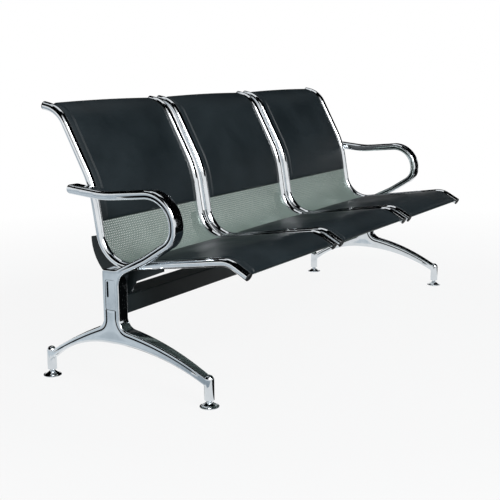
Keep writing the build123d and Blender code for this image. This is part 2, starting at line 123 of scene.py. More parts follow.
BEND_BACK = 52
BEND_UP = 67
SEAT_RUN = 421
SEAT_RAKE = 8
FRONT_RUN = 70
FRONT_DROP = 29.5
LUMBAR_RUN = 239
LUMBAR_LEAN = 9.4
BACK_RUN = 240
BACK_LEAN = 27.9
ROLL_RUN = 56.5
ROLL_RISE = 11.3
PROFILE_RADII = np.array([90, 300, 100, 70]) * MM
bend = np.array([beam_y + BEND_BACK * MM, beam_top + BEND_UP * MM])
waterfall = polar(bend, SEAT_RUN, 180 - SEAT_RAKE)
front_end = polar(waterfall, FRONT_RUN, 180 + FRONT_DROP)
lumbar = polar(bend, LUMBAR_RUN, 90 - LUMBAR_LEAN)
roll = polar(lumbar, BACK_RUN, 90 - BACK_LEAN)
top_end = polar(roll, ROLL_RUN, ROLL_RISE)
profile = rounded([top_end, roll, lumbar, bend, waterfall, front_end], PROFILE_RADII)
PROFILE_L = measured(profile)[-1]


def stations(lengths):
    """Places along a seat's side shape and the directions that face the sitter there."""
    lengths = np.asarray(lengths, float)
    reach = 1 * MM
    along = at_lengths(profile, np.minimum(lengths + reach, PROFILE_L))
    along -= at_lengths(profile, np.maximum(lengths - reach, 0))
    along /= np.linalg.norm(along, axis=1)[:, None]
    facing = np.stack([along[:, 1], -along[:, 0]], axis=1)
    return at_lengths(profile, lengths), facing


print("side shape", round(PROFILE_L / MM, 1), "mm long")

# %% [markdown]
# ## Helpers for finishes
# A finish is a small tree of nodes. One function adds a node, sets it and links it, so each
# material below reads as a list. Colours are written as they look on a screen and turned to
# the linear numbers that the renderer counts with.

# %% Colour and node helpers
def linear(colour):
    """Linear RGBA of an sRGB hex colour."""
    shares = [int(colour[place:place + 2], 16) / 255 for place in (1, 3, 5)]
    return [c / 12.92 if c <= 0.04045 else ((c + 0.055) / 1.055) ** 2.4 for c in shares] + [1.0]


def add(tree, kind, settings, links=None):
    """Adds a node, sets its sockets or properties by name or place, and links its inputs."""
    node = tree.nodes.new("ShaderNode" + kind)
    for name, value in settings.items():
        if isinstance(name, int) or name in node.inputs:
            node.inputs[name].default_value = value
        else:
            setattr(node, name, value)
    for name, source in (links or {}).items():
        tree.links.new(source, node.inputs[name])
    return node


def finish(name, **settings):
    """New material, its tree, its main shader with some values set, and the place on a piece."""
    made = bpy.data.materials.new(name)
    made.use_nodes = True
    tree = made.node_tree
    shader = tree.nodes["Principled BSDF"]
    for socket, value in settings.items():
        shader.inputs[socket.replace("_", " ")].default_value = value
    place = add(tree, "TexCoord", {}).outputs["Object"]
    return made, tree, shader, place


def wire(tree, shader, colour, roughness, normal):
    """Links the colour, the roughness and the normal of a finish to its main shader."""
    tree.links.new(colour, shader.inputs["Base Color"])
    tree.links.new(roughness, shader.inputs["Roughness"])
    tree.links.new(normal, shader.inputs["Normal"])


def per_mm(size):
    """Scale of a pattern whose cells measure a size in millimetres."""
    return 1 / (size * MM)


print("mid grey is", round(linear("#808080")[0], 3))

# %% [markdown]
# ## Black synthetic leather
# The pads are covered in polyurethane on a knitted backing: nearly black with a cool tint,
# pressed with a fine pebble grain and sealed with a thin semi-gloss lacquer. The eye gets a
# broad soft sheen that breaks up where hands and backs have rubbed it.

# %% Leather
def leather_finish():
    made, tree, shader, place = finish("polyurethane_leather", IOR=1.48, Specular_IOR_Level=0.26)
    # The real pebbles are about 1 mm across. They are drawn at 3 mm so that they show.
    pebble = add(tree, "TexVoronoi", {"feature": "DISTANCE_TO_EDGE", "Scale": per_mm(3)},
                 {"Vector": place})
    crease = add(tree, "TexNoise", {"Scale": per_mm(18), "Detail": 4.0}, {"Vector": place})
    rubbed = add(tree, "TexNoise", {"Scale": per_mm(150), "Detail": 3.0, "Roughness": 0.6},
                 {"Vector": place})
    tint = add(tree, "Mix", {"data_type": "RGBA", 6: linear("#10171a"), 7: linear("#252f34")},
               {0: rubbed.outputs["Fac"]})
    pores = add(tree, "MapRange", {"From Max": 0.12, "To Min": 0.65, "To Max": 1.0},
                {"Value": pebble.outputs["Distance"]})
    shade = add(tree, "Mix", {"data_type": "RGBA", "blend_type": "MULTIPLY", 0: 1.0},
                {6: tint.outputs[2], 7: pores.outputs["Result"]})
    gloss = add(tree, "MapRange", {"From Min": 0.3, "From Max": 0.7, "To Min": 0.36, "To Max": 0.52},
                {"Value": rubbed.outputs["Fac"]})
    grain = add(tree, "Bump", {"Strength": 0.18, "Distance": 0.3 * MM},
                {"Height": pebble.outputs["Distance"]})
    soft = add(tree, "Bump", {"Strength": 0.15, "Distance": 1.2 * MM},
               {"Height": crease.outputs["Fac"], "Normal": grain.outputs["Normal"]})
    wire(tree, shader, shade.outputs[2], gloss.outputs["Result"], soft.outputs["Normal"])
    return made


leather = leather_finish()
print("made", leather.name)

# %% [markdown]
# ## Chrome
# The tubes, the feet and the castings carry nickel and chromium over polished metal. Plate is
# a mirror, so nearly all of its look is what stands round it. What is its own is a faint cool
# tint, a film of handling marks and, on the castings, the slow waves that polishing leaves.

# %% Chrome on drawn tube and on castings
def chrome_finish(name, dull, bright, smooth, rubbed, wave_mm, wave_height):
    made, tree, shader, place = finish(name, Metallic=1.0)
    marks = add(tree, "TexNoise", {"Scale": per_mm(45), "Detail": 6.0, "Roughness": 0.7},
                {"Vector": place})
    tint = add(tree, "Mix", {"data_type": "RGBA", 6: linear(dull), 7: linear(bright)},
               {0: marks.outputs["Fac"]})
    # The creases and the plate's pocket of a casting are painted darker, as painted shade. A tube has none.
    crease_shade = add(tree, "Attribute", {"attribute_name": "crease"})
    shade = add(tree, "Mix", {"data_type": "RGBA", 7: linear("#1b2124")},
                {0: crease_shade.outputs["Fac"], 6: tint.outputs[2]})
    reach = {"From Min": 0.3, "From Max": 0.7, "To Min": smooth, "To Max": rubbed}
    film = add(tree, "MapRange", reach, {"Value": marks.outputs["Fac"]})
    waves = add(tree, "TexNoise", {"Scale": per_mm(wave_mm), "Detail": 1.0}, {"Vector": place})
    bump = add(tree, "Bump", {"Strength": 0.2, "Distance": wave_height * MM},
               {"Height": waves.outputs["Fac"]})
    wire(tree, shader, shade.outputs[2], film.outputs["Result"], bump.outputs["Normal"])
    return made


chrome = chrome_finish("chrome_plated_tube", "#c9ced2", "#eef1f3", 0.03, 0.09, 60, 0.25)
casting_chrome = chrome_finish("chromed_aluminium_casting", "#c2c9ce", "#e6eaed", 0.06, 0.14, 40, 0.5)
print("made", chrome.name, "and", casting_chrome.name)

# %% [markdown]
# ## Painted and plated steel, and plastic
# The beam and brackets are powder coated: the powder melts into a skin with a slight
# orange-peel. The seat sheets have a silver-grey coat with metal flake. Bolts are zinc plated,
# cloudy rather than bright, and the tube plugs are moulded polyethylene.

# %% Powder coat, silver coat, zinc and polyethylene
def coated_finish(name, dark, light, rough, peel_mm, peel_height, **settings):
    made, tree, shader, place = finish(name, **settings)
    cloud = add(tree, "TexNoise", {"Scale": per_mm(90), "Detail": 5.0, "Roughness": 0.65},
                {"Vector": place})
    tint = add(tree, "Mix", {"data_type": "RGBA", 6: linear(dark), 7: linear(light)},
               {0: cloud.outputs["Fac"]})
    reach = {"From Min": 0.3, "From Max": 0.7, "To Min": rough - 0.07, "To Max": rough + 0.07}
    gloss = add(tree, "MapRange", reach, {"Value": cloud.outputs["Fac"]})
    peel = add(tree, "TexNoise", {"Scale": per_mm(peel_mm), "Detail": 2.0}, {"Vector": place})
    bump = add(tree, "Bump", {"Strength": 0.2, "Distance": peel_height * MM},
               {"Height": peel.outputs["Fac"]})
    wire(tree, shader, tint.outputs[2], gloss.outputs["Result"], bump.outputs["Normal"])
    return made


powder_coat = coated_finish("black_powder_coat", "#12181a", "#20282a", 0.42, 3.0, 0.3,
                            Specular_IOR_Level=0.32)
silver_coat = coated_finish("silver_grey_coat", "#7b8a84", "#96a69f", 0.4, 2.0, 0.1, Metallic=0.3)
zinc = coated_finish("bright_zinc_plate", "#a2a8ac", "#d0d4d6", 0.28, 4.0, 0.1, Metallic=1.0)
polyethylene = coated_finish("moulded_polyethylene", "#0e1011", "#1f2224", 0.5, 1.5, 0.15)
print("made", powder_coat.name, silver_coat.name, zinc.name, polyethylene.name)


# %% [markdown]
# ## Helpers for pieces
# Every new piece gets its finish, rides on a body of the frame and names the solid that it
# stands for. Shading is smooth, with a hard line only where two faces meet at a real edge.

# %% Make, dress and ease pieces
FLAT_ANGLE = math.radians(0.4)
SHARP_ANGLE = math.radians(35)


def placed(name, data):
    """New object in the scene for a mesh, a lamp or a camera."""
    thing = bpy.data.objects.new(name, data)
    bpy.context.scene.collection.objects.link(thing)
    return thing


def welded(mesh, gap=0.001 * MM):
    """Editable copy of a mesh whose doubled points are merged."""
    shape = bmesh.new()
    shape.from_mesh(mesh)
    bmesh.ops.remove_doubles(shape, verts=shape.verts, dist=gap)
    return shape


def made_of(name, points, faces):
    """New mesh object from points and faces."""
    mesh = bpy.data.meshes.new(name)
    mesh.from_pydata(np.asarray(points, float).tolist(), [], faces)
    mesh.validate()
    return placed(name, mesh)


def dress(thing, material, slot, body, *stands_for, edge=40):
    """Gives a piece its finish and body and hides the solids it stands for. The slot is not used."""
    thing.data.materials.clear()
    thing.data.materials.append(material)
    thing.data.shade_smooth()
    thing.data.set_sharp_from_angle(angle=math.radians(edge))
    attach(thing, body)
    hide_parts(*stands_for)
    return thing


def eased(node, width, segments=2):
    """Copy of a solid with its sharp edges taken off by a width in millimetres."""
    shape = welded(nodes[node].data)
    bmesh.ops.dissolve_limit(shape, angle_limit=FLAT_ANGLE, verts=shape.verts, edges=shape.edges)
    sharp = [e for e in shape.edges if len(e.link_faces) == 2 and e.calc_face_angle() > SHARP_ANGLE]
    bmesh.ops.bevel(shape, geom=sharp, offset=width * MM, segments=segments, profile=0.5,
                    affect="EDGES", clamp_overlap=True)
    mesh = bpy.data.meshes.new(node)
    shape.to_mesh(mesh)
    shape.free()
    for attribute in [a.name for a in mesh.attributes if "normal" in a.name]:
        mesh.attributes.remove(mesh.attributes[attribute])
    thing = placed(f"eased_{node}", mesh)
    thing.modifiers.new("even_shading", "WEIGHTED_NORMAL").keep_sharp = True
    return thing


def paint(node, material):
    """Puts a finish on a solid whose shape is already right."""
    nodes[node].data.materials.clear()
    nodes[node].data.materials.append(material)


print("helpers ready")

# %% [markdown]
# ## Camera
# The place and the turn of the camera were solved from the feet, the tube ends and the ends of
# the beam, with the lens left free. The bench stands still and the camera goes to it.

# %% Camera
CAMERA_PLACE = Vector((-2.97635, -1.64074, 0.91708))
CAMERA_YAW = math.radians(-59.08)
CAMERA_PITCH = math.radians(-10.80)
CAMERA_ROLL = math.radians(-0.36)
FOCAL_PX = 981.96
FRAME_PX = 500
camera_data = bpy.data.cameras.new("camera")
camera_data.sensor_width = 36.0
camera_data.lens = camera_data.sensor_width * FOCAL_PX / FRAME_PX
camera = placed("camera", camera_data)
turn = Matrix.Rotation(CAMERA_YAW, 4, "Z") @ Matrix.Rotation(math.pi / 2 + CAMERA_PITCH, 4, "X")
camera.matrix_world = Matrix.Translation(CAMERA_PLACE) @ turn @ Matrix.Rotation(CAMERA_ROLL, 4, "Z")
bpy.context.scene.camera = camera
bpy.context.scene.view_settings.view_transform = "Standard"
print("lens", round(camera_data.lens, 1), "mm")

# %% [markdown]
# ## Pieces whose solids are already right
# The side tubes are true sweeps, so they only get their plate. Folded and sawn parts would show
# knife edges, so their copies get the small radius that a press, a saw and a coat of paint leave.

# %% Tubes, beam, brackets and fasteners
for seat in SEATS:
    for side in SIDES:
        paint(f"side_tube_{seat}_{side}", chrome)
        bracket = f"seat_bracket_{seat}_{side}"
        dress(eased(bracket, 0.8), powder_coat, "black_steel", "frame", bracket)
    for node, material in (("tube_plugs", polyethylene), ("pad_screws", zinc)):
        paint(f"{node}_{seat}", material)
for side in SIDES:
    plate = f"beam_end_plate_{side}"
    dress(eased(plate, 0.8), powder_coat, "black_steel", "frame", plate)
    paint(f"frame_bolts_{side}", zinc)
    cover = f"column_cover_{side}"
    dress(eased(cover, 1.1, 3), casting_chrome, "chromed_casting", "frame", cover)
dress(eased("beam", 0.6), powder_coat, "black_steel", "frame", "beam")
paint("beam_nuts", zinc)
print("dressed the pieces that keep the shape of their solids")

# %% [markdown]
# ## Casting: outline
# Each end of the bench is one casting: two legs that meet in an arch, a column and the loop of
# the armrest. A pattern maker would cut its side view first, so it starts here as one closed line
# of straight runs with rounded corners, measured from the column and the top of the beam.

# %% Outline of a casting
COLUMN_HALF = 28.5 * MM
COLUMN_UP = 80 * MM
ARM_HALF = 10.5 * MM
ARM_TOP_HALF = 13 * MM
column_y = middle("column_cover_left").y
column_top = beam_top + COLUMN_UP
frame_low, frame_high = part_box("side_frame_right")
FRAME_HALF = (frame_high.x - frame_low.x) / 2
frame_x = (frame_high.x + frame_low.x) / 2
foot_y = {end: middle(f"foot_{end}_left").y for end in ("front", "rear")}
ARCH_CROWN = np.array([column_y + 7.5 * MM, 136 * MM])


def across(a, b):
    """How far b turns to the left of a."""
    return a[0] * b[1] - a[1] * b[0]


def bar_edge(corners, halves, radii, side):
    """Corners and radii along the left (1) or right (-1) side of a bar whose width changes."""
    runs = np.diff(corners, axis=0)
    runs /= np.linalg.norm(runs, axis=1)[:, None]
    out = np.stack([-runs[:, 1], runs[:, 0]], axis=1) * side
    starts = corners[:-1] + out * halves[:-1, None]
    ends = corners[1:] + out * halves[1:, None]
    moved = [starts[0]]
    sizes = []
    for index, radius in enumerate(radii):
        run = ends[index] - starts[index]
        after = ends[index + 1] - starts[index + 1]
        turn = across(run, after)
        moved.append(starts[index] + run * across(starts[index + 1] - starts[index], after) / turn)
        sizes.append(radius - side * math.copysign(halves[index + 1], turn))
    return [*moved, ends[-1]], sizes


def crossing(a, b, axis, value):
    """Point of the line through a and b where one coordinate has a value."""
    return a + (b - a) * (value - a[axis]) / (b[axis] - a[axis])


def leg_corners(end, root_z, tip_z, heel_z, bow):
    """Root, bowed middle, tip, heel and arch corner of a leg, with the radius of its arch."""
    sign = -1 if end == "front" else 1
    root = np.array([column_y + sign * COLUMN_HALF, root_z * MM])
    tip = np.array([foot_y[end], tip_z * MM])
    heel = np.array([foot_y[end], heel_z * MM])
    chord = (tip - root) / np.linalg.norm(tip - root)
    top = (root + tip) / 2 + 2 * bow * MM * np.array([-chord[1], chord[0]]) * sign
    out = abs(heel[0] - ARCH_CROWN[0])
    drop = ARCH_CROWN[1] - heel[1]
    arch = ARCH_CROWN + np.array([sign * (out ** 2 + drop ** 2) / (2 * out), 0])
    return [root, top, tip, heel, arch], (out ** 2 + drop ** 2) / (2 * drop)


arm_line = np.array([(135.5, 217), (15.5, 205), (-214.5, 225), (-214.5, 97), (-120.5, 38), (0, -21)])
arm_line = arm_line * MM + np.array([column_y, column_top])
arm_radii = np.array([320, 85, 54, 180]) * MM
arm_halves = np.array([ARM_TOP_HALF] * 3 + [ARM_HALF] * 3)
outer, outer_radii = bar_edge(arm_line, arm_halves, arm_radii, -1)
inner, inner_radii = bar_edge(arm_line, arm_halves, arm_radii, 1)
tip_out = (arm_line[0] - arm_line[1]) / np.linalg.norm(arm_line[0] - arm_line[1]) * ARM_TOP_HALF
throat = crossing(outer[-2], outer[-1], 0, column_y - COLUMN_HALF)
valley = crossing(inner[-2], inner[-1], 1, column_top)
front_leg, front_arch_r = leg_corners("front", 183, 83, 57, 11)
rear_leg, rear_arch_r = leg_corners("rear", 191, 75, 45, 4)
shoulder_top = np.array([column_y + COLUMN_HALF, column_top])
loop = [outer[0] + tip_out, *outer[1:-1], throat, *front_leg, *rear_leg[::-1], shoulder_top]
loop += [valley, *inner[-2:0:-1], inner[0] + tip_out]
TIP_R = 0.98 * ARM_TOP_HALF
HEEL_R = 5.5 * MM
THROAT_R = 42 * MM
FRONT_ROOT_R = 34 * MM
FRONT_BOW_R = 830 * MM
REAR_BOW_R = 1400 * MM
REAR_ROOT_R = 26 * MM
SHOULDER_R = 9 * MM
VALLEY_R = 42 * MM
# The arches stop a little short of the heels, which leaves room to round these.
FIT = 0.91
loop_radii = [TIP_R, *outer_radii, THROAT_R]
loop_radii += [FRONT_ROOT_R, FRONT_BOW_R, HEEL_R, HEEL_R, FIT * front_arch_r]
loop_radii += [FIT * rear_arch_r, HEEL_R, HEEL_R, REAR_BOW_R, REAR_ROOT_R]
loop_radii += [SHOULDER_R, VALLEY_R, *inner_radii[::-1], TIP_R]
fine_outline = rounded(loop, loop_radii, closed=True)
OUTLINE_STEP = 2.5 * MM
outline_l = measured(fine_outline)[-1]
outline = at_lengths(fine_outline, np.arange(0, outline_l - OUTLINE_STEP / 2, OUTLINE_STEP))
along = np.roll(outline, -1, axis=0) - np.roll(outline, 1, axis=0)
along /= np.linalg.norm(along, axis=1)[:, None]
inward = np.stack([-along[:, 1], along[:, 0]], axis=1)
print("casting outline", round(outline_l / MM), "mm in", len(outline), "points")

# %% [markdown]
# ## Casting: rims, crease and pocket
# The rims are rounded, softly under the arch and tightly elsewhere. A crease runs beside the rim
# from the inset plate down each leg, a shallow one runs inside the loop of the armrest, and the
# plate sits in a pocket. The rims are rings of faces that follow the outline. The flat between
# them is filled with small triangles, so that every point can be lifted or sunk by what is near.

# %% Rings, crease lines and fill of a casting
RIM_R = 5.5 * MM
ARCH_R = 12 * MM
TOE_RIM_R = 4 * MM
CREASE_IN = 12.4 * MM
CREASE_HALF = 2.9 * MM
CREASE_DEPTH = 2.8 * MM
CREASE_CLOSER = 0.35
CREASE_NARROWER = 0.45
CREASE_END = 0.93
CREASE_FADE = 0.15
PANEL_SINK = 1.6 * MM
PANEL_RUN = 16 * MM
ARM_TOP_R = 9.5 * MM
ARM_TOP_UP = 150 * MM
LOOP_CREASE_IN = 9.4 * MM
LOOP_CREASE_HALF = 3.5 * MM
LOOP_CREASE_DEPTH = 2.2 * MM
LOOP_FADE = 60 * MM
# How strongly the creases are painted dark: painted shade.
CREASE_SHADE_SPREAD = 2.2
PLATE_DEPTH = 3 * MM
PLATE_R = 6 * MM
PLATE_JOINT = 0.9 * MM
PLATE_WALL = 0.2 * MM
FILL_STEP = 5 * MM
CASTING_WELD = 0.02 * MM
CREASE_LINES = (-1, -0.55, 0, 0.55, 1)
LEG_TIP_HALF = 13.5 * MM
RIM_ANGLES = np.radians(np.linspace(0, 90, 8))


def near(points, line):
    """Distance from each point to a line of points."""
    parts = np.array_split(points, 40)
    return np.concatenate([np.linalg.norm(line[None] - part[:, None], axis=2).min(1) for part in parts])


def leg_share(points):
    """How far out along a leg each point is, from 0 at the column to 1 at the foot."""
    out = points[:, 0] - column_y
    reach = np.where(out < 0, column_y - foot_y["front"], foot_y["rear"] - column_y) - COLUMN_HALF
    share = np.clip((np.abs(out) - COLUMN_HALF) / reach, 0, 1)
    return np.where(points[:, 1] < beam_top, share, 0)


def half_width(points):
    """Half the casting's width at each point: full at the column and narrower towards the feet."""
    share = leg_share(points)
    return FRAME_HALF - (FRAME_HALF - LEG_TIP_HALF) * share ** 2 * (2 - share)


def crease_inset(points):
    """How far inside the rim the crease runs, closer to it towards the foot."""
    return CREASE_IN * (1 - CREASE_CLOSER * leg_share(points))


def crease_half(points):
    """Half the crease's width, narrower towards the foot."""
    return CREASE_HALF * (1 - CREASE_NARROWER * leg_share(points))


def crease_fade(points):
    """How deep the crease is at each point, from 1 at the column to 0 near the foot."""
    return np.clip((CREASE_END - leg_share(points)) / CREASE_FADE, 0, 1)


plate_low, plate_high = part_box("column_cover_right")
under_arch = (inward[:, 1] > 0.3) & (outline[:, 1] < ARCH_CROWN[1] + 5 * MM)
EASE = np.ones(21) / 21
on_arm_top = (inward[:, 1] < -0.6) & (outline[:, 1] > column_top + ARM_TOP_UP)
rim_r = np.where(under_arch, ARCH_R, np.where(on_arm_top, ARM_TOP_R, RIM_R))
rim_r += (TOE_RIM_R - rim_r) * leg_share(outline)
rim_r = np.convolve(np.pad(rim_r, len(EASE) // 2, mode="wrap"), EASE, mode="valid")
beside_crease = (outline[:, 1] < plate_low.z - 2 * MM) & ~under_arch & (leg_share(outline) < CREASE_END)
loop_middle = arm_line[2:5].mean(0) + np.array([60 * MM, 0])
in_loop = ((outline - loop_middle) * inward).sum(1) > 0
in_loop &= (outline[:, 1] > column_top + 2 * MM) & (outline[:, 0] < column_y)
crease_edge = outline[beside_crease]
loop_edge = outline[in_loop]
last_ring = outline + inward * rim_r[:, None]


def plate_loop(grow):
    """Rounded rectangle of the plate's pocket, grown by a margin."""
    low = np.array([plate_low.y, plate_low.z]) - grow
    high = np.array([plate_high.y, plate_high.z]) + grow
    corners = [low, (high[0], low[1]), high, (low[0], high[1])]
    points = rounded(corners, [PLATE_R + grow] * 4, closed=True, step=2 * MM)
    return points[:-1]


def fill_points():
    """Points and fixed lines that fill the flat of a casting."""
    lines = [(last_ring, True)]
    lines += [(plate_loop(PLATE_JOINT + step * PLATE_WALL), True) for step in (1, -1)]
    even = np.ones(len(outline))
    creases = [(beside_crease, crease_inset(outline), crease_half(outline)),
               (in_loop, even * LOOP_CREASE_IN, even * LOOP_CREASE_HALF)]
    for beside, inset, half in creases:
        places = np.flatnonzero(beside)
        for run in np.split(places, np.flatnonzero(np.diff(places) > 1) + 1):
            for share in CREASE_LINES:
                lines.append((outline[run] + inward[run] * (inset + share * half)[run, None], False))
    grid = np.stack(np.meshgrid(
        np.arange(outline[:, 0].min(), outline[:, 0].max(), FILL_STEP),
        np.arange(outline[:, 1].min(), outline[:, 1].max(), FILL_STEP)), axis=-1).reshape(-1, 2)
    grid = grid[near(grid, np.concatenate([line for line, _ in lines])) > 0.6 * FILL_STEP]
    points = list(grid)
    edges = []
    for line, closed in lines:
        first = len(points)
        points += list(line)
        edges += [(first + k, first + k + 1) for k in range(len(line) - 1)]
        if closed:
            edges.append((first + len(line) - 1, first))
    ring = list(range(len(grid), len(grid) + len(last_ring)))
    return points, edges, ring


points, edges, ring = fill_points()
filled = delaunay_2d_cdt([Vector(p) for p in points], edges, [ring], 1, 1e-7)
used = sorted({corner for face in filled[2] for corner in face})
place_of = {corner: place for place, corner in enumerate(used)}
flat = np.array([list(filled[0][corner]) for corner in used])
triangles = [[place_of[corner] for corner in face] for face in filled[2]]
print("flat of the casting", len(flat), "points", len(triangles), "triangles")

# %% Lift the flat and the rims to their height
def ring_points(angle):
    """Ring of the rim at an angle from the wall (0) to the flat (90 degrees), as (height, y, z)."""
    places = outline + inward * (rim_r * (1 - math.cos(angle)))[:, None]
    height = half_width(places) - rim_r * (1 - math.sin(angle))
    return np.column_stack([height, places])


def flat_heights(points, outer_face):
    """Height and painted shade of each point of the flat. Only the outer face has the plate's pocket."""
    height = half_width(points)
    beside = near(points, crease_edge)
    deep = crease_fade(points) * (points[:, 1] < plate_low.z - 1.9 * MM)
    past = (beside - crease_inset(points)) / crease_half(points)
    crease = np.clip(1 - np.abs(past), 0, 1) * deep
    hollow = np.clip((beside - crease_inset(points)) / PANEL_RUN, 0, 1)
    panel = hollow * (2 - hollow) * deep
    panel *= np.clip(near(points, last_ring[under_arch]) / (2 * ARCH_R), 0, 1)
    in_arm = np.clip(1 - np.abs(near(points, loop_edge) - LOOP_CREASE_IN) / LOOP_CREASE_HALF, 0, 1)
    in_arm *= np.clip((column_y - COLUMN_HALF - points[:, 0]) / LOOP_FADE, 0, 1)
    height = height - crease * CREASE_DEPTH - panel * PANEL_SINK - in_arm * LOOP_CREASE_DEPTH
    # The creases beside the rims and in the loop are painted dark: painted shade.
    crease = np.clip(CREASE_SHADE_SPREAD * np.maximum(crease, in_arm), 0, 1)
    if outer_face:
        beyond = np.maximum(np.abs(points - plate_middle) - plate_half + PLATE_R, 0)
        in_pocket = np.linalg.norm(beyond, axis=1) < PLATE_R + PLATE_JOINT
        height = np.where(in_pocket, half_width(points) - PLATE_DEPTH, height)
        # The recessed pocket is painted dark as well: painted shade.
        crease = np.maximum(crease, in_pocket)
    return height, crease


plate_middle = np.array([plate_low.y + plate_high.y, plate_low.z + plate_high.z]) / 2
plate_half = np.array([plate_high.y - plate_low.y, plate_high.z - plate_low.z]) / 2


def casting_body(name, sign):
    """Closed mesh of one casting, whose outer face looks along the sign of x."""
    points = []
    faces = []
    crease = []
    count = len(outline)
    ring_starts = {}
    for outer_face in (True, False):
        side = sign if outer_face else -sign
        for angle in RIM_ANGLES:
            ring_starts[outer_face, angle] = len(points)
            points += [(side * h, y, z) for h, y, z in ring_points(angle)]
            crease += [0.0] * count
        height, shade_in_creases = flat_heights(flat, outer_face)
        first = len(points)
        points += [(side * h, y, z) for h, (y, z) in zip(height, flat)]
        crease += list(shade_in_creases)
        faces += [[first + corner for corner in face] for face in triangles]
    rims = list(RIM_ANGLES)
    steps = [((True, a), (True, b)) for a, b in zip(rims, rims[1:])]
    steps += [((False, a), (False, b)) for a, b in zip(rims, rims[1:])] + [((True, 0.0), (False, 0.0))]
    for start, end in steps:
        a, b = ring_starts[start], ring_starts[end]
        faces += [[a + k, a + (k + 1) % count, b + (k + 1) % count, b + k] for k in range(count)]
    points = np.array(points) + np.array([sign * frame_x, 0, 0])
    thing = made_of(name, points, faces)
    # The crease attribute carries the painted shade of the creases and the pocket to the chrome finish.
    thing.data.attributes.new("crease", "FLOAT", "POINT").data.foreach_set("value", crease)
    shape = welded(thing.data, CASTING_WELD)
    bmesh.ops.recalc_face_normals(shape, faces=shape.faces)
    print(name, "open edges", sum(not edge.is_manifold for edge in shape.edges))
    shape.to_mesh(thing.data)
    shape.free()
    return thing


castings = {side: casting_body(f"casting_{side}", sign) for side, sign in SIDES.items()}

# %% [markdown]
# ## Casting: sockets for the feet
# Each leg ends in a round post with a domed top, bored from below for the stud of a levelling
# foot. The posts are turned shapes. They are joined to the leg as one skin and the bores are cut
# last, so that the foot can really travel in them.

# %% Turned shapes
def skin(rings, caps=(True, True)):
    """Points and faces of a skin over rings of equal count, closed at its ends if asked."""
    count = len(rings[0])
    points = np.concatenate(rings)
    faces = []
    for start in range(0, len(points) - count, count):
        for k in range(count):
            after = (k + 1) % count
            faces.append([start + k, start + after, start + count + after, start + count + k])
    if caps[0]:
        faces.append(list(range(count))[::-1])
    if caps[1]:
        faces.append(list(range(len(points) - count, len(points))))
    return points, faces


def turned(profile, segments, place=(0, 0), start=0.0):
    """Rings round an upright axis for a profile of (radius, height) in millimetres."""
    angles = start + np.linspace(0, 2 * math.pi, segments, endpoint=False)
    circle = np.column_stack([np.cos(angles), np.sin(angles), np.zeros(segments)])
    lift = np.array([0, 0, MM])
    return [circle * radius * MM + lift * height + np.array([*place, 0]) for radius, height in profile]


def gathered(parts):
    """Several points and faces as one."""
    points = []
    faces = []
    for part_points, part_faces in parts:
        first = len(points)
        points += list(part_points)
        faces += [[first + corner for corner in face] for face in part_faces]
    return points, faces


def cut_or_join(thing, other, operation):
    """Joins another shape to a piece, or cuts it out, and removes the other shape."""
    change = thing.modifiers.new("change", "BOOLEAN")
    change.operation = operation
    change.solver = "EXACT"
    change.object = other
    bpy.context.view_layer.update()
    result = bpy.data.meshes.new_from_object(thing.evaluated_get(bpy.context.evaluated_depsgraph_get()))
    thing.modifiers.clear()
    thing.data = result
    bpy.data.objects.remove(other)


SOCKET_R = 14.0
SOCKET_BOTTOM = 20.0
SOCKET_TOP = 91.0
BORE_R = 5.3
BORE_TOP = 80.0
dome = [(SOCKET_R * math.cos(a), SOCKET_TOP - SOCKET_R + SOCKET_R * math.sin(a))
        for a in np.radians(np.linspace(0, 88, 12))]
post = [(SOCKET_R - 1, SOCKET_BOTTOM), (SOCKET_R - 0.3, SOCKET_BOTTOM + 0.3), (SOCKET_R, SOCKET_BOTTOM + 1)]
post += dome
bore = [(BORE_R + 0.8, SOCKET_BOTTOM - 0.2), (BORE_R, SOCKET_BOTTOM + 0.7), (BORE_R, BORE_TOP)]
for side, sign in SIDES.items():
    for profile_rz, operation in ((post, "UNION"), (bore, "DIFFERENCE")):
        for end in ("front", "rear"):
            rings = turned(profile_rz, 48, (sign * frame_x, foot_y[end]))
            cut_or_join(castings[side], made_of("turned_shape", *skin(rings)), operation)
    dress(castings[side], casting_chrome, "chromed_casting", "frame", f"side_frame_{side}")
    print(castings[side].name, len(castings[side].data.polygons), "faces")

# %% [markdown]
# ## Levelling feet
# A foot is a six-sided cone on a round rim, with a threaded stud up into its socket. Its flat
# facets are what catches the eye, so their edges stay crisp. The thread only shows when the foot is
# wound out, and then it should be there, so it is cut as fine grooves.

# %% Feet
FOOT_R = 27.5
FOOT_RIM_H = 3.0
NECK_R = 9.0
CONE_TOP = 16.0
STUD_R = 5.0
STUD_TOP = 64.0
THREAD_PITCH = 1.5
THREAD_DEPTH = 0.6
FACET_TURN = 22
RING_POINTS = 60


def hexagon(radius, height, place, ease=0.12):
    """Ring of a six-sided section whose corners are eased by a share of its radius."""
    angles = np.radians(np.arange(6) * 60 + FACET_TURN)
    corners = radius * np.stack([np.cos(angles), np.sin(angles)], axis=1)
    line = rounded(corners, [ease * radius] * 6, closed=True, step=0.02 * radius)
    spots = np.linspace(0, measured(line)[-1], RING_POINTS, endpoint=False)
    ring = at_lengths(line, spots) * MM
    return np.column_stack([ring, np.full(RING_POINTS, height * MM)]) + np.array([*place, 0])


